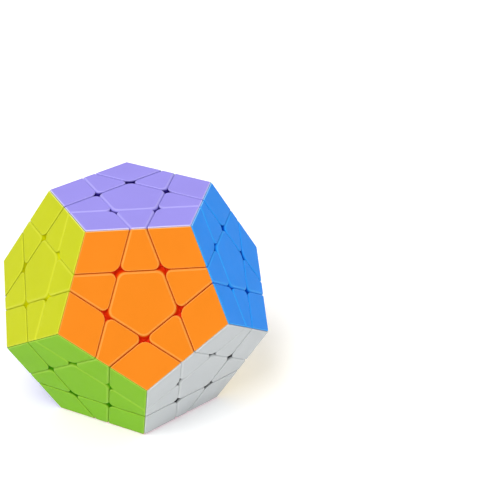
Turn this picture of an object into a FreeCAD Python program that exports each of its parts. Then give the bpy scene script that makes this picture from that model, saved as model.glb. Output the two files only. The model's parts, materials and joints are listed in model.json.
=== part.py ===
"""A twelve-faced twisty puzzle: one core, twelve centres, thirty edges and twenty corners.

Every cut between pieces is part of a surface of revolution about a face axis, one such surface
for each face, so any face turns freely with its centre, five edges and five corners.
Lengths are millimetres. The origin is the middle of the body, +Z is the axis of the lavender
face, and the puzzle stands on its pink face.
"""

import FreeCAD, Part
import math
import os

import Sketcher
from FreeCAD import Placement, Rotation, Vector

# Angles of a regular dodecahedron, in degrees.
FACE_ANGLE = math.degrees(math.atan(2))  # between two neighbouring face axes
EDGE_TILT = FACE_ANGLE / 2  # from an edge's outward line to its two face axes
CORNER_TILT = math.degrees(math.asin(math.sqrt((1 - math.cos(math.radians(FACE_ANGLE))) * 2 / 3)))
END_TILT = math.degrees(
    math.acos(math.cos(math.radians(FACE_ANGLE)) / math.cos(math.radians(EDGE_TILT)))
)  # from an edge's outward line to the face axes past its two ends
FIFTH = 72.0
THIRD = 120.0
SEAM_TURN = 140.0

SIDE_LENGTH = 30.0
CORNER_TILE = 12.9
FACE_DISTANCE = SIDE_LENGTH / 2 * math.sqrt((25 + 11 * math.sqrt(5)) / 10)
CUT_DEPTH = CORNER_TILE * math.sin(math.radians(FIFTH))  # on a face, in from its edge
CUT_DISTANCE = FACE_DISTANCE - CUT_DEPTH * math.sin(math.radians(FACE_ANGLE))
GAP = 0.25
FOOT_MIDDLE = 24.0  # radius at which the cones' gap is measured

SIZES = {
    "face_distance": FACE_DISTANCE,
    "cut_distance": CUT_DISTANCE,
    "half_gap": GAP / 2,
    "half_gap_angle": math.degrees(GAP / 2 / FOOT_MIDDLE),
    "seam": 0.05,
    "wall": 1.6,
    "edge_hollow_radius": 33.0,
    "neck_cone": 45.5,
    "foot_cone": 51.0,
    "shoulder_radius": 27.0,
    "foot_radius": 20.2,
    "stalk_radius": 19.4,
    "cutter_radius": 19.0,
    "flange_cone": 29.0,
    "flange_outer": 20.0,
    "flange_inner": 17.2,
    "well_floor": 19.9,
    "well_radius": 2.95,
    "shaft_hole": 1.4,
    "cap_well_floor": 28.6,
    "cap_well_radius": 5.7,
    "cap_underside": 31.4,
    "cap_ring_outer": 5.6,
    "cap_ring_inner": 4.4,
    "cap_ring_length": 2.2,
    "corner_split": 29.2,
    "peg_radius": 1.8,
    "peg_top": 32.4,
    "peg_clearance": 0.06,
    "core_radius": 10.0,
    "core_hollow": 6.5,
    "post_radius": 4.0,
    "post_top": 16.4,
    "pilot_radius": 1.25,
    "pilot_floor": 10.2,
    "screw_radius": 1.2,
    "screw_tip": 10.6,
    "screw_head_floor": 26.0,
    "screw_head_radius": 2.6,
    "screw_head_height": 1.8,
    "screw_point": 0.8,
    "recess_width": 0.7,
    "recess_length": 3.0,
    "recess_depth": 1.0,
    "spring_floor": 20.0,
    "spring_top": 25.9,
    "spring_coil": 2.4,
    "spring_wire": 0.5,
    "spring_pitch": 1.35,
    "slab_radius": 36.0,  # past the widest piece at the level of a cut
    "reach": 60.0,  # past everything
}

UPPER_RING = ["orange", "blue", "green", "white", "yellow"]
LOWER_RING = ["grey", "cream", "red", "navy", "lime"]
UPPER_START = -90.0  # the orange face looks along -Y
LOWER_START = -54.0

doc = FreeCAD.newDocument("twisty_dodecahedron")


def make_sheet():
    sheet = doc.addObject("Spreadsheet::Sheet", "sizes")
    for row, (name, value) in enumerate(SIZES.items(), start=1):
        sheet.set(f"A{row}", name)
        sheet.set(f"B{row}", repr(value))
        sheet.setAlias(f"B{row}", name)
    doc.recompute()


def bind(thing, **cells):
    """Binds a feature's properties to expressions of the sheet's cells."""
    for name, expression in cells.items():
        thing.setExpression(name, expression)
    return thing


def add(kind, name, **cells):
    return bind(doc.addObject(kind, name), **cells)


def placed(source, name, placement):
    """A copy of a piece, or of several, that stands elsewhere."""
    copy = doc.addObject("Part::Compound", name)
    copy.Links = source if isinstance(source, list) else [source]
    copy.Placement = placement
    return copy


def turned(tilt, azimuth=0.0):
    """Turns +Z towards a direction given by its tilt from +Z and its azimuth.

    What it places is round, so it first turns about its own axis, which keeps the seam of its
    curved faces away from where other pieces cross them.
    """
    around = Vector(0, 0, 1)
    lean = Rotation(Vector(0, 1, 0), tilt)
    return Placement(Vector(), Rotation(around, azimuth) * lean * Rotation(around, SEAM_TURN))


def direction(tilt, azimuth):
    return turned(tilt, azimuth).Rotation.multVec(Vector(0, 0, 1))


def common(name, pieces):
    shared = doc.addObject("Part::MultiCommon", name)
    shared.Shapes = pieces
    return shared


def fused(name, pieces):
    whole = doc.addObject("Part::MultiFuse", name)
    whole.Shapes = pieces
    return whole


def cut(name, base, tools):
    """Takes the tools away one after another. Only the last step bears the plain name."""
    for left, tool in zip(range(len(tools) - 1, -1, -1), tools):
        rest = doc.addObject("Part::Cut", f"{name}_before_{left}" if left else name)
        rest.Base = base
        rest.Tool = tool
        base = rest
    return rest


def outline_sketch(body, name):
    """A sketch on the body's own XZ plane, so that its vertical axis is +Z."""
    sketch = body.newObject("Sketcher::SketchObject", name)
    plane = next(f for f in body.Origin.OriginFeatures if f.Role == "XZ_Plane")
    sketch.AttachmentSupport = [(plane, "")]
    sketch.MapMode = "FlatFace"
    return sketch


def constrain(sketch, kind, *where, value=None, cell=None):
    """Adds a constraint. One with a value starts at it and is then bound to the sheet."""
    ends = where if value is None else (*where, value)
    number = sketch.addConstraint(Sketcher.Constraint(kind, *ends))
    if cell:
        sketch.setExpression(f"Constraints[{number}]", cell)


def revolve(body, sketch):
    turn = body.newObject("PartDesign::Revolution", f"{body.Name}_turn")
    turn.Profile = sketch
    turn.ReferenceAxis = (sketch, ["V_Axis"])
    turn.Angle = 360.0
    body.Tip = turn
    return body


def layer(name, side, inner_cell):
    """All that turns with the face on +Z: the slab above the cut, and below it a neck and a wider foot.

    side is +1 to stand half a gap inside the ideal cut and end at the face. It is -1 to stand
    half a gap outside the cut and run on past the face, as a tool that clears the layer away.
    """
    body = doc.addObject("PartDesign::Body", name)
    sketch = outline_sketch(body, f"{name}_outline")
    step = side * SIZES["half_gap"]
    lean = side * SIZES["half_gap_angle"]
    foot, neck = (math.radians(SIZES[cone] - lean) for cone in ("foot_cone", "neck_cone"))
    inner, shoulder = SIZES[inner_cell], SIZES["shoulder_radius"] - step
    top_cell, reach_cell = ("face_distance", "slab_radius") if side > 0 else ("reach", "reach")
    floor, top, reach = SIZES["cut_distance"] + step, SIZES[top_cell], SIZES[reach_cell]

    def ray(radius, cone):
        return Vector(radius * math.sin(cone), radius * math.cos(cone), 0)

    def arc(radius, near, far):
        circle = Part.Circle(Vector(), Vector(0, 0, 1), radius)
        return Part.ArcOfCircle(circle, math.pi / 2 - far, math.pi / 2 - near)

    rim = Vector(floor * math.tan(neck), floor, 0)
    outline = [
        arc(inner, 0, foot),
        Part.LineSegment(ray(inner, foot), ray(shoulder, foot)),
        arc(shoulder, neck, foot),
        Part.LineSegment(ray(shoulder, neck), rim),
        Part.LineSegment(rim, Vector(reach, floor, 0)),
        Part.LineSegment(Vector(reach, floor, 0), Vector(reach, top, 0)),
        Part.LineSegment(Vector(reach, top, 0), Vector(0, top, 0)),
        Part.LineSegment(Vector(0, top, 0), Vector(0, inner, 0)),
    ]
    sketch.addGeometry(outline, False)
    # An arc's first end is the one further from the axis.
    joints = [(0, 1, 1, 1), (1, 2, 2, 1), (2, 2, 3, 1), (3, 2, 4, 1), (4, 2, 5, 1)]
    joints += [(5, 2, 6, 1), (6, 2, 7, 1), (7, 2, 0, 2), (0, 3, -1, 1), (2, 3, -1, 1)]
    for ends in joints:
        constrain(sketch, "Coincident", *ends)
    for line in (1, 3):
        constrain(sketch, "PointOnObject", -1, 1, line)
    constrain(sketch, "PointOnObject", 7, 1, -2)
    constrain(sketch, "PointOnObject", 7, 2, -2)
    constrain(sketch, "Horizontal", 4)
    constrain(sketch, "Vertical", 5)
    constrain(sketch, "Horizontal", 6)
    constrain(sketch, "Radius", 0, value=inner, cell=f"sizes.{inner_cell}")
    constrain(
        sketch, "Radius", 2, value=shoulder, cell=f"sizes.shoulder_radius - {side} * sizes.half_gap"
    )
    for line, cone, cell in ((1, foot, "foot_cone"), (3, neck, "neck_cone")):
        angle = f"90 - (sizes.{cell} - {side} * sizes.half_gap_angle)"
        constrain(sketch, "Angle", line, value=math.pi / 2 - cone, cell=angle)
    floor_cell = f"sizes.cut_distance + {side} * sizes.half_gap"
    constrain(sketch, "DistanceY", -1, 1, 4, 1, value=floor, cell=floor_cell)
    constrain(sketch, "DistanceY", -1, 1, 6, 2, value=top, cell=f"sizes.{top_cell}")
    constrain(sketch, "DistanceX", -1, 1, 5, 1, value=reach, cell=f"sizes.{reach_cell}")
    return revolve(body, sketch)


def disc(name, radius, floor, height):
    """A round bar along +Z. All three sizes are expressions."""
    bar = add("Part::Cylinder", name, Radius=radius, Height=height)
    bar.setExpression(".Placement.Base.z", floor)
    return bar


def ball(name, radius):
    return add("Part::Sphere", name, Radius=radius)


def half_space(name, floor, height="sizes.reach"):
    """A bar wide enough to stand for all that lies past a plane across +Z."""
    return disc(name, "sizes.reach", floor, height)


def hollow(name, faces, ends, floor):
    """The room inside a moulded shell: a wall's thickness inside its faces and its cuts."""
    slab = half_space(
        f"{name}_slab",
        "sizes.cut_distance + sizes.wall",
        "sizes.face_distance - sizes.cut_distance - 2 * sizes.wall",
    )
    parts = [placed(slab, f"{name}_slab_{n}", turn) for n, turn in enumerate(faces)]
    past = half_space(f"{name}_past", "sizes.cut_distance - sizes.wall")
    away = [placed(past, f"{name}_past_{n}", turn) for n, turn in enumerate(ends)]
    away.append(ball(f"{name}_floor", floor))
    return cut(name, common(f"{name}_block", parts), away)


def make_centre(outside):
    """A centre: a stalk with a spring well and a flange, and the coloured cap that closes it."""
    whole = layer("centre_layer", 1, "stalk_radius")
    around = [placed(outside, f"centre_past_{n}", turned(FACE_ANGLE, n * FIFTH)) for n in range(5)]
    stalk = cut("centre_stalk", whole, around)

    cone = add("Part::Cone", "flange_cone", Height="sizes.reach")
    bind(cone, Radius2="sizes.reach * tan(sizes.flange_cone)")
    cone.Radius1 = 0
    round_flange = common("flange_round", [cone, ball("flange_outside", "sizes.flange_outer")])
    flange = cut("flange", round_flange, [ball("flange_inside", "sizes.flange_inner")])

    wells = [
        disc("shaft_way", "sizes.shaft_hole", "sizes.core_radius", "sizes.well_floor"),
        disc("spring_well", "sizes.well_radius", "sizes.well_floor", "sizes.core_radius"),
        disc("cap_well", "sizes.cap_well_radius", "sizes.cap_well_floor", "sizes.core_radius"),
        half_space("cap_space", "sizes.cap_underside"),
    ]
    base = cut("centre_base", fused("centre_body", [stalk, flange]), wells)

    plate_floor = "sizes.cap_underside + sizes.seam"
    plate = common("cap_plate", [stalk, half_space("cap_region", plate_floor)])
    ring_floor = "sizes.cap_underside + sizes.seam - sizes.cap_ring_length"
    ring_length = "sizes.cap_ring_length + sizes.wall / 2"
    ring = cut(
        "cap_ring",
        disc("cap_ring_bar", "sizes.cap_ring_outer", ring_floor, ring_length),
        [disc("cap_ring_bore", "sizes.cap_ring_inner", ring_floor, "sizes.cap_ring_length")],
    )
    cap = fused("centre_cap", [plate, ring])
    return placed([base, cap], "centre_master", Placement())


def make_edge(inside, outside):
    """An edge, outward line +Z: two coloured halves that meet over the middle of its foot."""
    faces = [turned(EDGE_TILT, 0), turned(EDGE_TILT, 180)]
    ends = [turned(END_TILT, 90), turned(END_TILT, -90)]
    lens = common("edge_lens", [placed(inside, f"edge_in_{n}", t) for n, t in enumerate(faces)])
    past = [placed(outside, f"edge_past_{n}", turn) for n, turn in enumerate(ends)]
    room = hollow("edge_hollow", faces, ends, "sizes.edge_hollow_radius")
    shell = cut("edge_shell", cut("edge_body", lens, past), [room])

    side = add("Part::Box", "edge_side", Length="sizes.reach", Width="2 * sizes.reach")
    bind(side, Height="sizes.reach")
    side.setExpression(".Placement.Base.x", "sizes.seam / 2")
    side.setExpression(".Placement.Base.y", "-sizes.reach")
    half = common("edge_half", [shell, side])
    turn_over = Placement(Vector(), Rotation(Vector(0, 0, 1), 180))
    return placed([half, placed(half, "edge_other_half", turn_over)], "edge_master", Placement())


def make_corner(inside):
    """A corner, outward line +Z: a foot with a peg, and three coloured shells around the peg."""
    faces = [turned(CORNER_TILT, n * THIRD) for n in range(3)]
    body = common("corner_body", [placed(inside, f"corner_in_{n}", t) for n, t in enumerate(faces)])

    peg_length = "sizes.peg_top - sizes.shoulder_radius"
    peg = disc("corner_peg", "sizes.peg_radius", "sizes.shoulder_radius", peg_length)
    base = common("corner_base", [body, ball("corner_base_ball", "sizes.corner_split")])
    foot = fused("corner_foot", [base, peg])

    peg_hole = disc(
        "corner_peg_hole",
        "sizes.peg_radius + sizes.peg_clearance",
        "sizes.shoulder_radius",
        f"{peg_length} + sizes.peg_clearance",
    )
    floor = "sizes.corner_split + sizes.seam"
    room = hollow("corner_hollow", faces, [], f"{floor} + sizes.wall")
    tools = [room, peg_hole, ball("corner_shell_floor", floor)]
    shell = cut("corner_shells", body, tools)
    wedge = add("Part::Cylinder", "corner_wedge", Radius="sizes.reach", Height="sizes.reach")
    wedge.Angle = THIRD
    wedge.Placement = Placement(Vector(), Rotation(Vector(0, 0, 1), -THIRD / 2))
    wedge.setExpression(".Placement.Base.x", "sizes.seam / sqrt(3)")
    third = common("corner_shell", [shell, wedge])
    thirds = [
        placed(third, f"corner_shell_{n}", Placement(Vector(), Rotation(Vector(0, 0, 1), n * THIRD)))
        for n in range(3)
    ]
    return placed([foot, *thirds], "corner_master", Placement())


def make_core(faces):
    """Two hollow half balls with twelve posts, each with a pilot hole for its screw."""
    bar = disc("post_bar", "sizes.post_radius", "0 * sizes.reach", "sizes.post_top")
    pilot = disc("pilot_bar", "sizes.pilot_radius", "sizes.pilot_floor", "sizes.core_radius")
    posts = [placed(bar, f"post_{name}", at) for name, at in faces.items()]
    pilots = [placed(pilot, f"pilot_{name}", at) for name, at in faces.items()]
    solid = fused("core_solid", [ball("core_ball", "sizes.core_radius"), *posts])
    shell = cut("core_shell", solid, [ball("core_room", "sizes.core_hollow"), *pilots])
    upper = common("core_upper_half", [shell, half_space("core_upper", "sizes.seam / 2")])
    below = half_space("core_lower", "-sizes.reach - sizes.seam / 2")
    lower = common("core_lower_half", [shell, below])
    return placed([upper, lower], "core", Placement())


def make_screw():
    """A screw along +Z with a chamfered head, a cross recess and a plain shaft."""
    body = doc.addObject("PartDesign::Body", "screw_body")
    sketch = outline_sketch(body, "screw_outline")
    tip, floor = SIZES["screw_tip"], SIZES["screw_head_floor"]
    top = floor + SIZES["screw_head_height"]
    shaft, head, point = SIZES["screw_radius"], SIZES["screw_head_radius"], SIZES["screw_point"]
    corners = [
        (0, tip),
        (shaft - point / 2, tip),
        (shaft, tip + point),
        (shaft, floor),
        (head, floor),
        (head, top - point),
        (head - point, top),
        (0, top),
    ]
    for number, (start, end) in enumerate(zip(corners, corners[1:] + corners[:1])):
        sketch.addGeometry(Part.LineSegment(Vector(*start, 0), Vector(*end, 0)), False)
        if number:
            constrain(sketch, "Coincident", number - 1, 2, number, 1)
    constrain(sketch, "Coincident", len(corners) - 1, 2, 0, 1)
    for line in (0, 3, 6):
        constrain(sketch, "Horizontal", line)
    for line in (2, 4):
        constrain(sketch, "Vertical", line)
    constrain(sketch, "PointOnObject", 0, 1, -2)
    constrain(sketch, "PointOnObject", 7, 1, -2)
    heights = {1: (tip, "sizes.screw_tip"), 3: (floor, "sizes.screw_head_floor")}
    heights[2] = (tip + point, "sizes.screw_tip + sizes.screw_point")
    heights[5] = (
        top - point,
        "sizes.screw_head_floor + sizes.screw_head_height - sizes.screw_point",
    )
    heights[6] = (top, "sizes.screw_head_floor + sizes.screw_head_height")
    for line, (value, cell) in heights.items():
        constrain(sketch, "DistanceY", -1, 1, line, 1, value=value, cell=cell)
    widths = {1: (shaft - point / 2, "sizes.screw_radius - sizes.screw_point / 2")}
    widths[2] = (shaft, "sizes.screw_radius")
    widths[4] = (head, "sizes.screw_head_radius")
    widths[6] = (head - point, "sizes.screw_head_radius - sizes.screw_point")
    for line, (value, cell) in widths.items():
        constrain(sketch, "DistanceX", -1, 1, line, 1, value=value, cell=cell)
    revolve(body, sketch)

    arms = []
    long_side, short_side = "sizes.recess_length", "sizes.recess_width"
    for name, along, across in (("x", long_side, short_side), ("y", short_side, long_side)):
        arm = add("Part::Box", f"recess_{name}", Length=along, Width=across)
        bind(arm, Height="sizes.recess_depth + sizes.seam")
        arm.setExpression(".Placement.Base.x", f"-{along} / 2")
        arm.setExpression(".Placement.Base.y", f"-{across} / 2")
        floor_of_arm = "sizes.screw_head_floor + sizes.screw_head_height - sizes.recess_depth"
        arm.setExpression(".Placement.Base.z", floor_of_arm)
        arms.append(arm)
    return cut("screw_master", body, arms)


def make_spring():
    """A square-wire compression spring along +Z, between the well's floor and the screw's head."""
    helix = add("Part::Helix", "spring_path", Pitch="sizes.spring_pitch")
    bind(helix, Radius="sizes.spring_coil")
    bind(helix, Height="sizes.spring_top - sizes.spring_floor - sizes.spring_wire")
    helix.setExpression(".Placement.Base.z", "sizes.spring_floor + sizes.spring_wire / 2")
    wire = add("Part::RegularPolygon", "spring_section", Circumradius="sizes.spring_wire / sqrt(2)")
    wire.Polygon = 4
    flat_on = Rotation(Vector(0, 0, 1), 45)
    wire.Placement = Placement(Vector(), Rotation(Vector(1, 0, 0), 90) * flat_on)
    wire.setExpression(".Placement.Base.x", "sizes.spring_coil")
    wire.setExpression(".Placement.Base.z", "sizes.spring_floor + sizes.spring_wire / 2")
    sweep = doc.addObject("Part::Sweep", "spring_master")
    sweep.Sections = [wire]
    sweep.Spine = (helix, ["Edge1"])
    sweep.Solid = True
    sweep.Frenet = True
    return sweep


def slot_placement(outward, towards):
    """Where a piece made along +Z goes: +Z turns to outward and +X as near towards as it can."""
    return Placement(Vector(), Rotation(towards, Vector(), outward, "ZXY"))


def face_axes():
    axes = {"lavender": Vector(0, 0, 1)}
    for number, name in enumerate(UPPER_RING):
        axes[name] = direction(FACE_ANGLE, UPPER_START + number * FIFTH)
    for number, name in enumerate(LOWER_RING):
        axes[name] = direction(180 - FACE_ANGLE, LOWER_START + number * FIFTH)
    axes["pink"] = Vector(0, 0, -1)
    return axes


def neighbour_pairs(axes):
    """Neighbouring faces, the one nearer the start of the list first."""
    names = list(axes)
    near = math.cos(math.radians((FACE_ANGLE + 90) / 2))
    return [
        (a, b) for n, a in enumerate(names) for b in names[n + 1 :] if axes[a].dot(axes[b]) > near
    ]


def corner_trios(pairs):
    """Three faces that meet, for every corner."""
    return [
        (a, b, c) for a, b in pairs for c in [y for x, y in pairs if x == b] if (a, c) in pairs
    ]


def build():
    make_sheet()
    axes = face_axes()
    pairs = neighbour_pairs(axes)
    trios = corner_trios(pairs)
    inside = layer("inside_layer", 1, "foot_radius")
    outside = layer("outside_layer", -1, "cutter_radius")
    centre = make_centre(outside)
    edge = make_edge(inside, outside)
    corner = make_corner(inside)
    screw, spring = make_screw(), make_spring()

    nodes = []
    face_places = {}
    for name, axis in axes.items():
        neighbour = next(b if a == name else a for a, b in pairs if name in (a, b))
        face_places[name] = slot_placement(axis, axes[neighbour] - axis)
        nodes.append(placed(centre, f"centre_{name}", face_places[name]))
    nodes.append(make_core(face_places))
    for label, master in (("screw", screw), ("spring", spring)):
        copies = [placed(master, f"{label}_{name}", at) for name, at in face_places.items()]
        nodes.append(placed(copies, f"tension_{label}s", Placement()))

    base_corners = {(a, b): (a, b, c) for a, b, c in trios if c == "pink"}
    for a, b in pairs:
        at = slot_placement(axes[a] + axes[b], axes[a] - axes[b])
        if (a, b) in base_corners:
            pieces = [
                placed(edge, f"edge_{a}_{b}_alone", at),
                placed(corner, f"corner_{a}_{b}_pink", corner_place(axes, base_corners[a, b])),
            ]
            nodes.append(placed(pieces, f"edge_with_base_corner_{a}_{b}", Placement()))
        else:
            nodes.append(placed(edge, f"edge_{a}_{b}", at))
    for trio in trios:
        if "pink" not in trio:
            nodes.append(placed(corner, "corner_" + "_".join(trio), corner_place(axes, trio)))
    return nodes


def corner_place(axes, trio):
    a, b, c = (axes[name] for name in trio)
    return slot_placement(a + b + c, a)


def check(nodes):
    failed = [o.Name for o in doc.Objects if {"Invalid", "Error"} & set(o.State)]
    if failed:
        raise RuntimeError(f"features that did not build: {failed}")
    for node in nodes:
        if node.Shape.isNull() or not node.Shape.isValid():
            raise RuntimeError(f"{node.Name} has no valid shape")


sub_parts = build()
doc.recompute()
check(sub_parts)
os.makedirs("parts", exist_ok=True)
for sub_part in sub_parts:
    sub_part.Label = sub_part.Name
    sub_part.Shape.exportStep(f"parts/{sub_part.Label}.step")
volume = sum(sub_part.Shape.Volume for sub_part in sub_parts)
print(f"{len(sub_parts)} sub-parts, {volume / 1000:.1f} cm3 of material")
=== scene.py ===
# %% [markdown]
# # A twelve-colour twisty puzzle
# This lesson dresses the mechanical model of a dodecahedron puzzle in moulded plastic.
# The real toy has twelve turning layers, held to a hidden ball by screws and springs. Each
# layer shows eleven tiles: a pentagon in the middle, five edge tiles and five corner tiles.
# The colour isn't a sticker. Every tile is the top of a part moulded in its own colour.
#
# The mechanical model comes first, as a frame that nothing here moves. Every new piece is made
# where the model says, in metres, and then rides on one of its bodies.

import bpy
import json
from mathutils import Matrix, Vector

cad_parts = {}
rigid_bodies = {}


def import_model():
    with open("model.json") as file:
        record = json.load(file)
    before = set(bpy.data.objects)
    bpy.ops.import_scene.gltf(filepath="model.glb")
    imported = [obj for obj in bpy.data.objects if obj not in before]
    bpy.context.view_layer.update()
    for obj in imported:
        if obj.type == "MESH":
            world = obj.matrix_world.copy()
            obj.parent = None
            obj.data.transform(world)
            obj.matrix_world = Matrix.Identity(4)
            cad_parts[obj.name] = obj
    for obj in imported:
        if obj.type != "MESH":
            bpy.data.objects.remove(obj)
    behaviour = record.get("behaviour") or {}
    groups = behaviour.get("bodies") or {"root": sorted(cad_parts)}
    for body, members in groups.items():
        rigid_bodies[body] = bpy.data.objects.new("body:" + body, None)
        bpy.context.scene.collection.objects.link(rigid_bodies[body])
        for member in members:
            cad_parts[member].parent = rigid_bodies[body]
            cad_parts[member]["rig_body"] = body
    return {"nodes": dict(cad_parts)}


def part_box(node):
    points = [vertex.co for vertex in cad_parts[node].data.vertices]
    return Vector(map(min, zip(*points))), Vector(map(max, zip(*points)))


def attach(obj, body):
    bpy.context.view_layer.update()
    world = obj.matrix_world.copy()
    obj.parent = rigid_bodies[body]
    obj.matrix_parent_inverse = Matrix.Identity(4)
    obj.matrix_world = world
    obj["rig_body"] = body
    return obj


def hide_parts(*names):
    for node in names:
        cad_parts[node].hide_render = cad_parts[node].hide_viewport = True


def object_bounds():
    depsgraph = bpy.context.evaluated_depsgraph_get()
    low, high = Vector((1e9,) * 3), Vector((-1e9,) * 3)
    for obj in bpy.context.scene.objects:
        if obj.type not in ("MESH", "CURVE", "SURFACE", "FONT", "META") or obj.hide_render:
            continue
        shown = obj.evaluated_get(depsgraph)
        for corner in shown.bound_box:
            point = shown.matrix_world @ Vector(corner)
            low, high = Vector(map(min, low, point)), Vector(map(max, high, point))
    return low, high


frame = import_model()
cad_low, cad_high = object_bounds()
nodes = frame["nodes"]
print("box of the mechanical model, mm:", [round(1000 * v, 2) for v in cad_high - cad_low])

# %% Tools
import json
import math

import bmesh
import bpy
from mathutils import Matrix, Vector

MM = 0.001
print("Blender", bpy.app.version_string)

# %% [markdown]
# ## Where the twelve faces are
# A regular dodecahedron has a face on top, a face below, and two rings of five between them.
# The angle between two neighbouring faces' outward lines is the arctangent of 2, so two lists
# of names and one angle give every direction. That is safer than typing twelve vectors.

# %% Face directions
FACE_ANGLE = math.atan(2)
FIFTH = 72  # a fifth of a turn, in degrees
ORANGE_AT, GREY_AT = -90, -54
UPPER_RING = ["orange", "blue", "green", "white", "yellow"]
LOWER_RING = ["grey", "cream", "red", "navy", "lime"]
FACES = ["lavender", *UPPER_RING, *LOWER_RING, "pink"]


def leaning(tilt, degrees):
    """The direction that leans by tilt from straight up, towards a compass angle."""
    turn = math.radians(degrees)
    return Vector(
        (math.sin(tilt) * math.cos(turn), math.sin(tilt) * math.sin(turn), math.cos(tilt))
    )


outward = {"lavender": Vector((0, 0, 1)), "pink": Vector((0, 0, -1))}
for place, (upper, lower) in enumerate(zip(UPPER_RING, LOWER_RING)):
    outward[upper] = leaning(FACE_ANGLE, ORANGE_AT + FIFTH * place)
    outward[lower] = leaning(math.pi - FACE_ANGLE, GREY_AT + FIFTH * place)
print(len(outward), "faces, orange towards", [round(v, 3) for v in outward["orange"]])

# %% [markdown]
# Later steps ask which five faces surround a face. Neighbours' outward lines have a cosine of
# 0.447 and all others are below zero, so any limit between the two picks them out. Sorting by
# angle keeps them in one order, so that each tile's sides follow one another.

# %% Neighbours
NEIGHBOUR_COSINE = 0.4


def flat_axes(face):
    """Two directions along a face, at right angles to each other."""
    across = outward[face].orthogonal().normalized()
    return across, outward[face].cross(across)


def neighbours(face):
    """The five faces round a face, anticlockwise as seen from outside."""
    across, up = flat_axes(face)
    others = [other for other in FACES if other != face]
    near = [o for o in others if outward[o].dot(outward[face]) > NEIGHBOUR_COSINE]
    return sorted(near, key=lambda o: math.atan2(outward[o].dot(up), outward[o].dot(across)))


print("round the top:", neighbours("lavender"))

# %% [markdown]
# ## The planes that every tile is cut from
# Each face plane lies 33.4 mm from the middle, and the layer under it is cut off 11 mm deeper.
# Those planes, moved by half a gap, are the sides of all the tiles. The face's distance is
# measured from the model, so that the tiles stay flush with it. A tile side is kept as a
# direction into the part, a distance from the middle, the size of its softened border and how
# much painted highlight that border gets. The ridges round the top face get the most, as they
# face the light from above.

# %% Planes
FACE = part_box("centre_lavender")[1].z
CORNER_TILE = 12.9 * MM
CUT = FACE - CORNER_TILE * math.sin(math.radians(FIFTH)) * math.sin(FACE_ANGLE)
GAP = 0.25 * MM
SEAM = 0.05 * MM
SOFT_BORDER = 0.5 * MM
RIDGE_BORDER = 0.55 * MM
# painted highlight on the softened borders, most on the ridges round the top face
HIGHLIGHT_IN_GAP, HIGHLIGHT_ON_RIDGE, TOP_RIDGE_HIGHLIGHT = 0.27, 0.3, 0.8


def inside_layer(other):
    """A side where the part stops half a gap past the cut of another face's layer."""
    return outward[other], CUT + GAP / 2, SOFT_BORDER, HIGHLIGHT_IN_GAP


def outside_layer(other):
    """A side where the part stops half a gap short of another face's layer."""
    return -outward[other], -(CUT - GAP / 2), SOFT_BORDER, HIGHLIGHT_IN_GAP


def colour_seam(face, other):
    """A side where one part changes colour, halfway between two faces."""
    # the ridges round the top face get the strongest painted highlight, as they face the light
    highlight_and_polish = TOP_RIDGE_HIGHLIGHT if "lavender" in (face, other) else HIGHLIGHT_ON_RIDGE
    return (outward[face] - outward[other]).normalized(), SEAM / 2, RIDGE_BORDER, highlight_and_polish


print("face plane", round(FACE / MM, 3), "mm, layer cut", round(CUT / MM, 3), "mm")

# %% [markdown]
# ## One outline at one depth
# Seen from outside, a tile is a four- or five-sided outline. Going down into the puzzle, the
# sides lean, so the outline changes evenly with depth. These helpers give the outline at any
# depth below the face: each side is a line, each corner is an arc. The corners round the
# middle pentagon are generous, which leaves the small four-pointed holes this kind of puzzle
# shows. A bevel modifier can't give each corner its own radius, so arcs are worked out here.

# %% Corner radii
SHARP = 0.12 * MM
PENTAGON_ROUND = 2.5 * MM
CORNER_ROUND = 3.2 * MM
EDGE_ROUND = 1.7 * MM
all_radii = (SHARP, EDGE_ROUND, PENTAGON_ROUND, CORNER_ROUND)
print("radii, mm:", [round(radius / MM, 2) for radius in all_radii])


# %% Sides as lines
def side_lines(face, sides, depth, pull):
    """Each side as a line at a depth: direction, distance and how far it is drawn in."""
    across, up = flat_axes(face)
    lines = []
    for inward, distance, border, _ in sides:
        flat = Vector((inward.dot(across), inward.dot(up)))
        away = (distance - (FACE - depth) * inward.dot(outward[face])) / flat.length
        lines.append((flat.normalized(), away + pull * border, pull * border))
    return lines


cap_sides = [outside_layer(other) for other in neighbours("lavender")]
cap_line = side_lines("lavender", cap_sides, depth=0, pull=0)[0]
print("a centre's sides lie", round(-cap_line[1] / MM, 2), "mm out")

# %% A rounded corner
ARC_STEPS = 9
SHOULDER = 0.8 * MM  # how far the straight points beside an arc stand from it


def rounded_corner(first_line, second_line, radius):
    """The points round one corner: a straight one, an arc and another straight one."""
    first, first_reach, first_pull = first_line
    second, second_reach, second_pull = second_line
    bend = max(radius - min(first_pull, second_pull), min(radius, SHARP))
    target = Vector((first_reach + bend, second_reach + bend))
    middle = Matrix((first, second)).inverted() @ target
    start = math.atan2(-first.y, -first.x)
    sweep = (math.atan2(-second.y, -second.x) - start) % math.tau
    angles = [start + sweep * step / ARC_STEPS for step in range(ARC_STEPS + 1)]
    arc = [middle + bend * Vector((math.cos(a), math.sin(a))) for a in angles]
    before = arc[0] - SHOULDER * Vector((first.y, -first.x))
    after = arc[-1] + SHOULDER * Vector((second.y, -second.x))
    return before, *arc, after


print(ARC_STEPS + 3, "points for each corner of an outline")


# %% Outline of a tile
def outline(face, sides, radii, depth, pull=0.0):
    """Points round a tile at a depth. pull, 0 to 1, draws each side in by its border."""
    across, up = flat_axes(face)
    lines = side_lines(face, sides, depth, pull)
    ring = []
    for place, radius in enumerate(radii):
        points = rounded_corner(lines[place], lines[(place + 1) % len(lines)], radius)
        ring += [outward[face] * (FACE - depth) + across * p.x + up * p.y for p in points]
    return ring


around = outline("lavender", cap_sides, [PENTAGON_ROUND] * len(cap_sides), depth=0)
print(len(around), "points round a centre tile")


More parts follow.
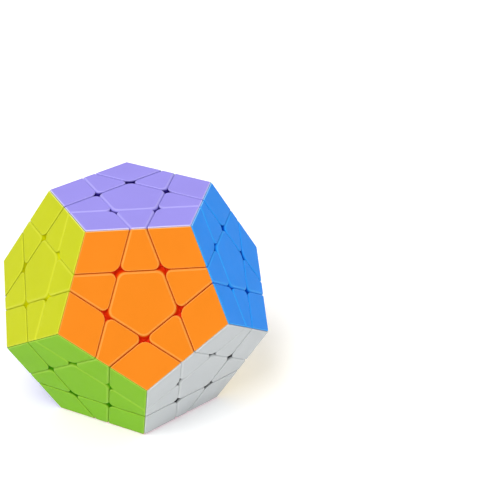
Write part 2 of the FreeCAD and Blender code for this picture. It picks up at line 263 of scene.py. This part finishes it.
# %% Marks along an outline
def marks(sides, radii):
    """For each point of an outline: how much painted highlight it gets, and is it on a rounded
    corner?
    """
    found = []
    for place, radius in enumerate(radii):
        highlights = sides[place][3], sides[(place + 1) % len(sides)][3]
        hole = float(radius > SHARP)
        half = (ARC_STEPS + 1) // 2
        found.append((highlights[0], 0.0))
        found += [(highlights[0], hole)] * half + [(highlights[1], hole)] * (ARC_STEPS + 1 - half)
        found.append((highlights[1], 0.0))
    return found


two_sides = [colour_seam("lavender", "orange"), outside_layer("orange")]
corner_marks = marks(two_sides, [EDGE_ROUND, SHARP])[1 : ARC_STEPS + 2]
print("rub and hole round a corner, from ridge to gap:", corner_marks[0], corner_marks[-1])


# %% [markdown]
# ## From outlines to a moulded shell
# A shell is a stack of outlines joined by strips of quads. The first few rows turn over the
# softened border in a quarter round. Then the wall goes down to the floor of the small holes,
# where each part steps out to its full, sharp outline and so closes the hole from below.
# Two numbers are stored on every point as attributes: how much painted highlight its border
# gets, most on the ridges between two colours, and how much painted shade it gets from lying
# deep, most in the small holes. The plastic uses them later, and they travel with the mesh.

# %% The rows of a shell
BORDER_ROWS = 5
WALL_TOP = 1.6 * SOFT_BORDER
# painted shade on the wall just below the softened border, almost full
SHADE_AT_TOP = 0.9
WELL = 1.75 * MM
STEP = 0.18 * MM


def shell_rows(face, sides, radii):
    """Outlines from the face to the step under the holes, as (points, painted highlight,
    painted shade).
    """
    rows = []
    for row in range(BORDER_ROWS + 1):
        angle = math.pi / 2 * row / BORDER_ROWS
        depth = SOFT_BORDER * (1 - math.cos(angle))
        points = outline(face, sides, radii, depth, 1 - math.sin(angle))
        # the painted highlight peaks halfway round the softened border
        rows.append((points, math.sin(2 * angle), 0.0))
    rows.append((outline(face, sides, radii, WALL_TOP), 0.0, SHADE_AT_TOP))
    rows.append((outline(face, sides, radii, WELL), 0.0, 1.0))
    rows.append((outline(face, sides, [SHARP] * len(sides), WELL + STEP), 0.0, 1.0))
    return rows


print("holes go down", round(WELL / MM, 2), "mm")

# %% Stack the rows
# painted shade: full in the holes, weaker in the gaps between parts
SHADE_IN_HOLE, SHADE_IN_GAP = 1.0, 0.6


def add_rows(mesh, rows, marked, close_floor=True):
    """Adds a stack of outlines to a bmesh as one shell. Returns its lowest ring of points."""
    highlight_and_polish, deep = (mesh.verts.layers.float.get(name) for name in ("highlight_and_polish", "deep"))
    rings = []
    for points, row_highlight, depth in rows:
        ring = [mesh.verts.new(point) for point in points]
        for vert, (most, hole) in zip(ring, marked):
            # painted highlight on the border rows, painted shade down the walls
            vert[highlight_and_polish] = row_highlight * most
            vert[deep] = depth * (SHADE_IN_HOLE if hole else SHADE_IN_GAP)
        rings.append(ring)
    count = len(rings[0])
    for top, low in zip(rings, rings[1:]):
        for n in range(count):
            mesh.faces.new((top[n], low[n], low[(n + 1) % count], top[(n + 1) % count]))
    mesh.faces.new(rings[0])
    if close_floor:
        mesh.faces.new(reversed(rings[-1]))
    return rings[-1]


def new_mesh():
    """An empty bmesh with the two stored numbers."""
    mesh = bmesh.new()
    for name in ("highlight_and_polish", "deep"):
        mesh.verts.layers.float.new(name)
    return mesh


print("in a gap the colour is", round(100 * SHADE_IN_GAP), "percent as deep as in a hole")

# %% [markdown]
# ## The plastic
# The parts are injection-moulded ABS, coloured right through, with a fine satin texture from
# the spark-eroded mould. Four things make it look real: a colour that drifts very slightly, a
# roughness that isn't quite even, a fine grain in the surface, and smoother borders, which
# also get a painted highlight. Down in the gaps and holes, where light bounces from wall to
# wall of one colour and some passes through the plastic, the colour is painted deep and dark:
# painted shade. Each colour therefore has a surface tone and a deep tone for the painted
# shade, blended by the stored depth.

# %% Colours
TONES = {
    # name: (surface tone, deep tone of the painted shade), in linear light
    "lavender": ((0.34, 0.293, 0.843), (0.014, 0.003, 0.16)),
    "orange": ((0.774, 0.211, 0.0083), (0.62, 0.024, 0.001)),
    "blue": ((0.0015, 0.255, 0.890), (0.002, 0.06, 0.44)),
    "green": ((0.006, 0.39, 0.11), (0.003, 0.12, 0.03)),
    "white": ((0.83, 0.83, 0.80), (0.36, 0.36, 0.34)),
    "yellow": ((0.523, 0.564, 0.0015), (0.56, 0.57, 0.001)),
    "grey": ((0.518, 0.542, 0.554), (0.03, 0.032, 0.034)),
    "cream": ((0.88, 0.74, 0.40), (0.55, 0.36, 0.12)),
    "red": ((0.72, 0.025, 0.03), (0.30, 0.004, 0.005)),
    "navy": ((0.02, 0.05, 0.36), (0.004, 0.012, 0.12)),
    "lime": ((0.201, 0.465, 0.008), (0.055, 0.30, 0.002)),
    "pink": ((0.88, 0.17, 0.38), (0.50, 0.03, 0.12)),
}
print(len(TONES), "colours")


# %% A material to start from
def start_material(name):
    """A new material and its main shader."""
    material = bpy.data.materials.new(name)
    material.use_nodes = True
    return material, material.node_tree.nodes["Principled BSDF"]


def link(material, start, end):
    """Joins two sockets."""
    material.node_tree.links.new(start, end)


print("materials so far:", len(bpy.data.materials))

# %% [markdown]
# Noise is the source of everything uneven here. Its four-dimensional form takes a fourth
# number beside the place. Each part has a number of its own, the batch, so no two parts show
# the same spots, as if each had come from another shot of the mould.

# %% Noise and grain
def noise(material, scale, detail=2.0):
    """A noise node in the part's own space, moved by the part's own number."""
    tree = material.node_tree.nodes
    place, number = tree.new("ShaderNodeTexCoord"), tree.new("ShaderNodeAttribute")
    number.attribute_name = "batch"
    spots = tree.new("ShaderNodeTexNoise")
    spots.noise_dimensions = "4D"
    spots.inputs["Scale"].default_value = scale
    spots.inputs["Detail"].default_value = detail
    link(material, place.outputs["Object"], spots.inputs["Vector"])
    link(material, number.outputs["Fac"], spots.inputs["W"])
    return spots.outputs["Fac"]


def grain(material, shader, scale, height, strength):
    """A fine bump from noise. scale is in waves per metre, height in metres."""
    bump = material.node_tree.nodes.new("ShaderNodeBump")
    bump.inputs["Strength"].default_value = strength
    bump.inputs["Distance"].default_value = height
    link(material, noise(material, scale, detail=3.0), bump.inputs["Height"])
    link(material, bump.outputs["Normal"], shader.inputs["Normal"])


print("helpers made: noise, grain")


# %% Numbers into shares
def spread(material, value, low, high):
    """Turns a value from 0 to 1 into one from low to high."""
    ramp = material.node_tree.nodes.new("ShaderNodeMapRange")
    ramp.inputs["To Min"].default_value, ramp.inputs["To Max"].default_value = low, high
    link(material, value, ramp.inputs["Value"])
    return ramp.outputs["Result"]


def stored(material, name):
    """A number stored on the mesh."""
    node = material.node_tree.nodes.new("ShaderNodeAttribute")
    node.attribute_name = name
    return node.outputs["Fac"]


def part_of(material, name, low, high):
    """How far a stored number has come from low to high, held between 0 and 1."""
    ramp = material.node_tree.nodes.new("ShaderNodeMapRange")
    ramp.inputs["From Min"].default_value, ramp.inputs["From Max"].default_value = low, high
    link(material, stored(material, name), ramp.inputs["Value"])
    return ramp.outputs["Result"]


print("helpers made: spread, stored, part_of")


# %% Blends
def blend_colour(material, share, first, second):
    """A colour mix. first and second are colours or sockets."""
    mix = material.node_tree.nodes.new("ShaderNodeMix")
    mix.data_type = "RGBA"
    link(material, share, mix.inputs["Factor"])
    for socket, colour in ((mix.inputs["A"], first), (mix.inputs["B"], second)):
        if isinstance(colour, tuple):
            socket.default_value = (*colour, 1)
        else:
            link(material, colour, socket)
    return mix.outputs["Result"]


def calculate(material, how, first, second):
    """A sum or a product of two sockets."""
    node = material.node_tree.nodes.new("ShaderNodeMath")
    node.operation = how
    link(material, first, node.inputs[0])
    link(material, second, node.inputs[1])
    return node.outputs["Value"]


print("helpers made: blend_colour, calculate")

# %% [markdown]
# The finish is now put together. The base colour drifts between a warmer and a cooler tone,
# grows brighter and then paler with the painted highlight on the borders, and turns deep with
# the painted shade in gaps and holes. The gloss is uneven, and higher on the highlighted
# borders. A little of the deep tone is given off as light, a painted glow, which stands for
# the light that comes through the walls from the other side.

# %% Tones made from a surface tone
WARMER, LIFT, COOLER = 1.035, 0.004, 0.955
# the painted highlight's tones: brighter, then paler, than the surface tone
HIGHLIGHT_LIFT, HIGHLIGHT_POWER, TOWARDS_WHITE = 0.01, 0.6, 0.5


def lighter_and_darker(surface):
    """Four tones of one plastic: warm and cool for the drift, bright and pale for the painted
    highlight.
    """
    warm = tuple(min(1.0, WARMER * c + LIFT) for c in surface)
    cool = tuple(COOLER * c for c in surface)
    bright = tuple((c + HIGHLIGHT_LIFT) ** HIGHLIGHT_POWER for c in surface)
    pale = tuple(c + (1 - c) * TOWARDS_WHITE for c in bright)
    return warm, cool, bright, pale


for tone in lighter_and_darker(TONES["orange"][0]):
    print("orange:", [round(c, 3) for c in tone])

# %% The plastic's numbers
DRIFT_SCALE, GLOSS_SCALE, GRAIN_SCALE = 95.0, 420.0, 5200.0  # waves per metre
ROUGHEST, SMOOTHEST, POLISHED = 0.50, 0.36, 0.72
GRAIN_HEIGHT, GRAIN_STRENGTH = 0.012 * MM, 0.35
GLOW = 0.25  # the light that comes through, as a share of the deep tone
ABS_IOR, SHINE = 1.53, 0.06
print("a wave of grain is", round(1 / GRAIN_SCALE / MM, 2), "mm long")


# %% A moulded plastic
def moulded_plastic(name, surface, deep):
    """Satin ABS: drift, uneven gloss, smoother borders with painted highlight, painted shade
    in gaps.
    """
    material, shader = start_material(name)
    warm, cool, bright, pale = lighter_and_darker(surface)
    drift = blend_colour(material, noise(material, DRIFT_SCALE), cool, warm)
    # painted highlight on the borders: a brighter, then a paler tone
    lit = blend_colour(material, part_of(material, "highlight_and_polish", 0.0, 0.5), drift, bright)
    with_highlight = blend_colour(material, part_of(material, "highlight_and_polish", 0.5, 1.0), lit, pale)
    # painted shade in gaps and holes: the deep tone
    colour = blend_colour(material, stored(material, "deep"), with_highlight, deep)
    link(material, colour, shader.inputs["Base Color"])
    glow = tuple(GLOW * c for c in deep)
    through = blend_colour(material, stored(material, "deep"), (0.0, 0.0, 0.0), glow)
    link(material, through, shader.inputs["Emission Color"])
    shader.inputs["Emission Strength"].default_value = 1.0
    uneven = spread(material, noise(material, GLOSS_SCALE, detail=4.0), SMOOTHEST, ROUGHEST)
    polish = spread(material, stored(material, "highlight_and_polish"), 1.0, POLISHED)
    gloss = calculate(material, "MULTIPLY", uneven, polish)
    link(material, gloss, shader.inputs["Roughness"])
    grain(material, shader, GRAIN_SCALE, GRAIN_HEIGHT, GRAIN_STRENGTH)
    shader.inputs["IOR"].default_value = ABS_IOR
    shader.inputs["Specular IOR Level"].default_value = SHINE
    return material


plastics = {name: moulded_plastic(f"{name}_plastic", *tones) for name, tones in TONES.items()}
print(len(plastics), "plastics")

# %% [markdown]
# ## Finishing a mesh
# Flat faces have to look flat, and small rounds have to look round. Smooth shading alone bends
# the light across a whole tile, so edges over 30 degrees are marked sharp, and a Weighted
# Normal modifier lets the largest face rule the shading where it meets its rounded border.

# %% From mesh to piece
CREASE = math.radians(30)
BATCH_STEP = 0.37
batches = iter(range(1, 1000))


def make_piece(mesh, name, colour, node):
    """Turns a bmesh into a finished piece that stands for a node and rides on its body."""
    bmesh.ops.recalc_face_normals(mesh, faces=mesh.faces)
    for edge in mesh.edges:
        edge.smooth = edge.calc_face_angle(0.0) < CREASE
    for face in mesh.faces:
        face.smooth = True
    batch = mesh.verts.layers.float.new("batch")
    number = BATCH_STEP * next(batches)
    for vert in mesh.verts:
        vert[batch] = number
    data = bpy.data.meshes.new(name)
    mesh.to_mesh(data)
    mesh.free()
    data.materials.append(plastics[colour])
    piece = bpy.data.objects.new(name, data)
    bpy.context.scene.collection.objects.link(piece)
    flat = piece.modifiers.new("flat_faces", "WEIGHTED_NORMAL")
    flat.keep_sharp = True
    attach(piece, nodes[node]["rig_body"])
    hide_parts(node)


print("edges over", round(math.degrees(CREASE)), "degrees stay sharp")

# %% [markdown]
# ## The parts of the model that can be reused
# Feet and stalks are turned shapes: cones and spheres that let the layers slide under each
# other. The model already has them exactly, so they are copied rather than made again. A node
# holds several solids, so its mesh is welded and split into islands, and each new piece picks
# the island whose middle lies nearest to where it should be.

# %% Split the model into its solids
WELD = 0.002 * MM


def islands(node):
    """The separate solids of a node, as lists of faces, each a list of points."""
    mesh = bmesh.new()
    mesh.from_mesh(nodes[node].data)
    bmesh.ops.remove_doubles(mesh, verts=mesh.verts, dist=WELD)
    found, seen = [], set()
    for first in mesh.faces:
        if first in seen:
            continue
        seen.add(first)
        group, front = [], [first]
        while front:
            face = front.pop()
            group.append([vert.co.copy() for vert in face.verts])
            for edge in face.edges:
                for other in edge.link_faces:
                    if other not in seen:
                        seen.add(other)
                        front.append(other)
        found.append(group)
    mesh.free()
    return found


starts = ("centre_", "corner_", "edge_")
solids = {name: islands(name) for name in nodes if name.startswith(starts)}
print(sum(len(found) for found in solids.values()), "islands in", len(solids), "nodes")


# %% Pick an island
def middle_of(island):
    """The middle of an island, each face counting by its size."""
    total, weight = Vector(), 0.0
    for a, b, c in island:
        size = (b - a).cross(c - a).length
        total += (a + b + c) / 3 * size
        weight += size
    return total / weight


def nearest(found, point):
    """The island whose middle is nearest to a point. It is taken out of the list."""
    best = min(range(len(found)), key=lambda n: (middle_of(found[n]) - point).length)
    return found.pop(best)


middle = middle_of(solids["centre_lavender"][0])
print("middle of the first island, mm:", [round(v / MM, 1) for v in middle])


# %% Copy an island
def add_island(mesh, island):
    """Adds a copied solid to a bmesh. It lies inside, so all its points get full painted
    shade.
    """
    highlight_and_polish, deep = (mesh.verts.layers.float.get(name) for name in ("highlight_and_polish", "deep"))
    known = {}
    for corners in island:
        verts = []
        for point in corners:
            key = tuple(round(v / WELD) for v in point)
            if key not in known:
                known[key] = mesh.verts.new(point)
                known[key][highlight_and_polish], known[key][deep] = 0.0, 1.0
            verts.append(known[key])
        if len(set(verts)) == 3:
            mesh.faces.new(verts)


trial = new_mesh()
add_island(trial, solids["centre_lavender"][0])
print("a copied island has", len(trial.verts), "points and", len(trial.faces), "triangles")
trial.free()

# %% [markdown]
# ## Centres
# A centre is a stalk with a spring inside and a flat pentagonal cap that hides the screw. The
# cap is made new, as a 2 mm plate with rounded corners: it needs no step under the holes, so
# the last two rows of its shell are left off. The stalk is the model's own.

# %% Caps and stalks
CAP = 31.45 * MM
STALK_MIDDLE = 0.8 * FACE
for face in FACES:
    node = f"centre_{face}"
    sides = [outside_layer(other) for other in neighbours(face)]
    radii = [PENTAGON_ROUND] * len(sides)
    rows = shell_rows(face, sides, radii)[:-2]
    rows.append((outline(face, sides, radii, FACE - CAP), 0.0, 1.0))
    mesh = new_mesh()
    add_rows(mesh, rows, marks(sides, radii))
    make_piece(mesh, f"cap_{face}", face, node)
    mesh = new_mesh()
    stalk = nearest(solids[node], outward[face] * STALK_MIDDLE)
    add_island(mesh, stalk)
    make_piece(mesh, f"stalk_{face}", face, node)
print(len(FACES), "caps and stalks")

# %% [markdown]
# ## Edges
# An edge part shows two tiles, so it is moulded as two halves in two colours that meet along
# the ridge. The upper, visible body of each half is a stack of outlines. Its foot is the
# model's own solid, sliced off below the tiles. The two open rims are joined by a bridge,
# which gives one closed mesh instead of two that only touch.

# %% Down to a level
DEEPEST = 60.0
HALVINGS = 40


def down_to(start, next_one, level):
    """Carries each point on along its own wall, until level(point) reaches zero.

    The step from a point to the next one is carried on at most DEEPEST times.
    """
    landed = []
    for a, b in zip(start, next_one):
        low, high = 0.0, DEEPEST
        for _ in range(HALVINGS):
            half = (low + high) / 2
            low, high = (half, high) if level(a.lerp(b, half)) > 0 else (low, half)
        landed.append(a.lerp(b, low))
    return landed


slope = [Vector((1, 0, 5))], [Vector((1.5, 0, 4))]
foot_of_slope = down_to(*slope, lambda point: point.z)[0]
print("a slope reaches the ground at", [round(v, 3) for v in foot_of_slope])


# %% Body of half an edge
SLICE = 31.3 * MM
BRIDGE = 0.08 * MM


def edge_body(face, other, ridge):
    """The open shell of the half that shows on face. ridge is the direction to the ridge."""
    ring = neighbours(face)
    place = ring.index(other)
    sides = [
        outside_layer(ring[place - 1]),
        colour_seam(face, other),
        outside_layer(ring[(place + 1) % len(ring)]),
        inside_layer(other),
    ]
    radii = [SHARP, SHARP, EDGE_ROUND, EDGE_ROUND]
    rows = shell_rows(face, sides, radii)
    sharp = [SHARP] * len(sides)
    start, later = (outline(face, sides, sharp, WELL + n * STEP) for n in (1, 2))
    low = down_to(start, later, lambda point: point.dot(ridge) - SLICE - BRIDGE)
    rows.append((low, 0.0, 1.0))
    mesh = new_mesh()
    add_rows(mesh, rows, marks(sides, radii), close_floor=False)
    return mesh


print("bodies end", round(BRIDGE / MM, 2), "mm above the slice")

# %% Foot of half an edge
NO_WELD = 1e-8


def join_foot(mesh, foot, ridge):
    """Adds a foot to an open shell, slices it and bridges the two open rims."""
    rim_edges = [e for e in mesh.edges if e.is_boundary]
    before = set(mesh.verts)
    add_island(mesh, foot)
    own = [v for v in mesh.verts if v not in before]
    geometry = own + list({e for v in own for e in v.link_edges})
    geometry += list({f for v in own for f in v.link_faces})
    bmesh.ops.bisect_plane(
        mesh,
        geom=geometry,
        plane_co=ridge * SLICE,
        plane_no=ridge,
        clear_outer=True,
        dist=NO_WELD,
    )
    open_edges = [e for e in mesh.edges if e.is_boundary and e not in rim_edges]
    bmesh.ops.bridge_loops(mesh, edges=rim_edges + open_edges)


print("feet are sliced at", round(SLICE / MM, 1), "mm")

# %% Halves of the edges
FOOT_OUT, FOOT_ASIDE = 31 * MM, 5 * MM  # about where the middle of half a foot lies
halves, loose = 0, 0
for place, face in enumerate(FACES):
    for other in FACES[place + 1 :]:
        if other not in neighbours(face):
            continue
        node = f"edge_{face}_{other}"
        if node not in nodes:
            node = f"edge_with_base_corner_{face}_{other}"
        ridge = (outward[face] + outward[other]).normalized()
        for shown, hidden in ((face, other), (other, face)):
            mesh = edge_body(shown, hidden, ridge)
            lean = (outward[shown] - outward[hidden]).normalized()
            foot = nearest(solids[node], ridge * FOOT_OUT + lean * FOOT_ASIDE)
            join_foot(mesh, foot, ridge)
            halves += 1
            loose += sum(not e.is_manifold for e in mesh.edges)
            make_piece(mesh, f"edge_{shown}_beside_{hidden}", shown, node)
print(halves, "halves; open edges left:", loose)

# %% [markdown]
# ## Corners
# A corner shows three tiles: three coloured shells that clip round a peg on one foot. Each
# shell's floor lies on a sphere, so its lowest outline is found by following every wall down
# until it meets that sphere. The feet are the model's own.

# %% Shell of a corner
SPHERE = 29.25 * MM


def corner_shell(face, first, second):
    """The shell of a corner that shows on face. first and second follow anticlockwise."""
    sides = [
        colour_seam(face, first),
        colour_seam(face, second),
        inside_layer(first),
        inside_layer(second),
    ]
    radii = [SHARP, SHARP, CORNER_ROUND, SHARP]
    rows = shell_rows(face, sides, radii)
    sharp = [SHARP] * len(sides)
    start, later = (outline(face, sides, sharp, WELL + n * STEP) for n in (1, 2))
    rows.append((down_to(start, later, lambda point: point.length - SPHERE), 0.0, 1.0))
    mesh = new_mesh()
    rim = add_rows(mesh, rows, marks(sides, radii), close_floor=False)
    middle = sum((v.co for v in rim), Vector()) / len(rim)
    deep = mesh.verts.layers.float.get("deep")
    centre = mesh.verts.new(middle.normalized() * SPHERE)
    # the middle of the floor gets full painted shade
    centre[deep] = 1.0
    for n, vert in enumerate(rim):
        mesh.faces.new((vert, centre, rim[(n + 1) % len(rim)]))
    return mesh


print("floors lie on a sphere of", round(SPHERE / MM, 2), "mm")

# %% Shells and feet of the corners
CORNER_FOOT = 27 * MM  # about where the middle of a foot lies
corners = 0
for face in FACES:
    ring = neighbours(face)
    for place, first in enumerate(ring):
        second = ring[(place + 1) % len(ring)]
        trio = sorted((face, first, second), key=FACES.index)
        node = "corner_" + "_".join(trio)
        if node not in nodes:
            node = f"edge_with_base_corner_{trio[0]}_{trio[1]}"
        name = f"corner_{face}_beside_{first}_{second}"
        make_piece(corner_shell(face, first, second), name, face, node)
        corners += 1
        if face == trio[0]:
            mesh = new_mesh()
            tip = (outward[face] + outward[first] + outward[second]).normalized()
            add_island(mesh, nearest(solids[node], tip * CORNER_FOOT))
            make_piece(mesh, "foot_" + "_".join(trio), face, node)
print(corners, "corner shells")

# %% [markdown]
# ## The hidden mechanism
# The ball, the twelve screws and their springs are shown as the model has them. Only their
# finishes are new: a tougher, duller plastic for the ball, and two kinds of steel.

# %% A dull plastic
DARKER = 0.8


def dull_plastic(name, colour):
    """Plain, unpolished plastic, a little uneven in tone and gloss."""
    material, shader = start_material(name)
    darker = tuple(DARKER * c for c in colour)
    tone = blend_colour(material, noise(material, scale=160.0), colour, darker)
    link(material, tone, shader.inputs["Base Color"])
    rough = spread(material, noise(material, scale=600.0), low=0.5, high=0.66)
    link(material, rough, shader.inputs["Roughness"])
    grain(material, shader, scale=3000.0, height=0.02 * MM, strength=0.4)
    return material


ball = dull_plastic("ball_plastic", (0.42, 0.43, 0.44))
print("made", ball.name)

# %% A drawn steel
SHINIER, ROUGHER = 1.15, 0.12


def drawn_steel(name, colour, roughness):
    """Steel with fine marks from the die that it was drawn through."""
    material, shader = start_material(name)
    bright = tuple(min(1.0, SHINIER * c) for c in colour)
    tone = blend_colour(material, noise(material, scale=900.0), colour, bright)
    link(material, tone, shader.inputs["Base Color"])
    spots = noise(material, scale=1500.0)
    rough = spread(material, spots, low=roughness, high=roughness + ROUGHER)
    link(material, rough, shader.inputs["Roughness"])
    grain(material, shader, scale=8000.0, height=0.004 * MM, strength=0.3)
    shader.inputs["Metallic"].default_value = 1.0
    return material


zinc = drawn_steel("zinc_plated_screw", (0.62, 0.62, 0.60), roughness=0.24)
wire = drawn_steel("spring_wire", (0.52, 0.52, 0.53), roughness=0.2)
print("made", zinc.name, "and", wire.name)

# %% Finishes on the model's own parts
inner = {
    "core": (ball, "core_plastic"),
    "tension_screws": (zinc, "screw_steel"),
    "tension_springs": (wire, "spring_steel"),
}
for node, (material, slot) in inner.items():
    carried = nodes[node]
    for own in carried.material_slots:
        own.material = material
print("finishes for", ", ".join(inner))

# %% [markdown]
# ## Floor and light
# The puzzle stands on one of its faces on a plain white sheet. A large, bright sky gives the
# even light of a product picture. One soft lamp from the upper left adds to the painted
# highlight along the ridges, and casts a faint shadow where the puzzle meets the sheet. The
# sky lights the puzzle at about half strength, but shows as a plain white backdrop, so that
# the sheet and the backdrop run into each other from every side.

# %% Floor
FLOOR_SIZE = 40.0
UNDER = 0.1 * MM
PAPER, PAPER_ROUGHNESS, PAPER_GLOW = 0.93, 0.9, 0.22
floor_mesh = bpy.data.meshes.new("floor")
half = FLOOR_SIZE / 2
ground = cad_low.z - UNDER
square = [(-half, -half), (half, -half), (half, half), (-half, half)]
floor_mesh.from_pydata([(x, y, ground) for x, y in square], [], [(0, 1, 2, 3)])
floor = bpy.data.objects.new("floor", floor_mesh)
bpy.context.scene.collection.objects.link(floor)
sheet, shader = start_material("white_sheet")
shader.inputs["Base Color"].default_value = (PAPER, PAPER, PAPER, 1)
shader.inputs["Roughness"].default_value = PAPER_ROUGHNESS
shader.inputs["Emission Color"].default_value = (1, 1, 1, 1)
shader.inputs["Emission Strength"].default_value = PAPER_GLOW
floor_mesh.materials.append(sheet)
print("the sheet lies at", round(ground / MM, 2), "mm")

# %% Sky and backdrop
scene = bpy.context.scene
scene.view_settings.view_transform = "Standard"
scene.view_settings.look = "None"
SKY, BACKDROP = 0.54, 1.0
world = bpy.data.worlds.new("studio")
world.use_nodes = True
studio = world.node_tree
studio.nodes["Background"].inputs["Color"].default_value = (1, 1, 1, 1)
seen = studio.nodes.new("ShaderNodeLightPath").outputs["Is Camera Ray"]
choice = studio.nodes.new("ShaderNodeMapRange")
choice.inputs["To Min"].default_value, choice.inputs["To Max"].default_value = SKY, BACKDROP
studio.links.new(seen, choice.inputs["Value"])
studio.links.new(choice.outputs["Result"], studio.nodes["Background"].inputs["Strength"])
scene.world = world
print("sky", SKY, "backdrop", BACKDROP)


# %% Lamps
def soft_lamp(name, direction, strength, width):
    """A lamp as far off as the sun, and as wide as a window, that shines from a direction."""
    data = bpy.data.lights.new(name, "SUN")
    data.energy, data.angle = strength, math.radians(width)
    lamp = bpy.data.objects.new(name, data)
    lamp.rotation_mode = "QUATERNION"
    lamp.rotation_quaternion = (-Vector(direction)).to_track_quat("-Z", "Y")
    scene.collection.objects.link(lamp)
    print(name, "lamp,", width, "degrees wide, strength", strength)


soft_lamp("key", direction=(-0.4, -0.6, 1.0), strength=2.0, width=30)
soft_lamp("fill", direction=(0.7, -0.8, 0.4), strength=0.25, width=60)

# %% [markdown]
# ## Camera
# The camera looks down at about 29 degrees with a long lens, so the puzzle keeps its
# proportions. It is first placed on its line through the puzzle's middle, and then turned a
# little to the side and up, so that the puzzle stands left of and below the picture's middle.
# The focal length and the puzzle's spot are in 480ths of the picture's width.

# %% Where the camera looks
PICTURE = 480
LONG_SIDE = 36.0
AZIMUTH, ELEVATION, ROLL = (math.radians(v) for v in (-3.76, 29.30, -1.52))
DISTANCE = 0.44805
FOCAL = 1470.5
SPOT = (135.3, 296.0)

level_part = math.cos(ELEVATION)
line = Vector(
    (math.sin(AZIMUTH) * level_part, -math.cos(AZIMUTH) * level_part, math.sin(ELEVATION))
)
horizon = (-line).cross(Vector((0, 0, 1))).normalized()
upright = horizon.cross(-line)
right = math.cos(ROLL) * horizon + math.sin(ROLL) * upright
top = math.cos(ROLL) * upright - math.sin(ROLL) * horizon
sideways = Matrix.Rotation(math.atan((SPOT[0] - PICTURE / 2) / FOCAL), 3, top)
right = sideways @ right
upwards = Matrix.Rotation(-math.atan((PICTURE / 2 - SPOT[1]) / FOCAL), 3, right)
top, facing = upwards @ top, upwards @ sideways @ line
print("camera at", [round(v / MM) for v in line * DISTANCE], "mm")

# %% Camera
camera_data = bpy.data.cameras.new("camera")
camera_data.sensor_width = LONG_SIDE
camera_data.lens = FOCAL * LONG_SIDE / PICTURE
camera_data.clip_start = 10 * MM
camera = bpy.data.objects.new("camera", camera_data)
turned = Matrix((right, top, facing)).transposed()
camera.matrix_world = Matrix.Translation(line * DISTANCE) @ turned.to_4x4()
scene.collection.objects.link(camera)
scene.camera = camera
print("lens", round(camera_data.lens, 1), "mm")
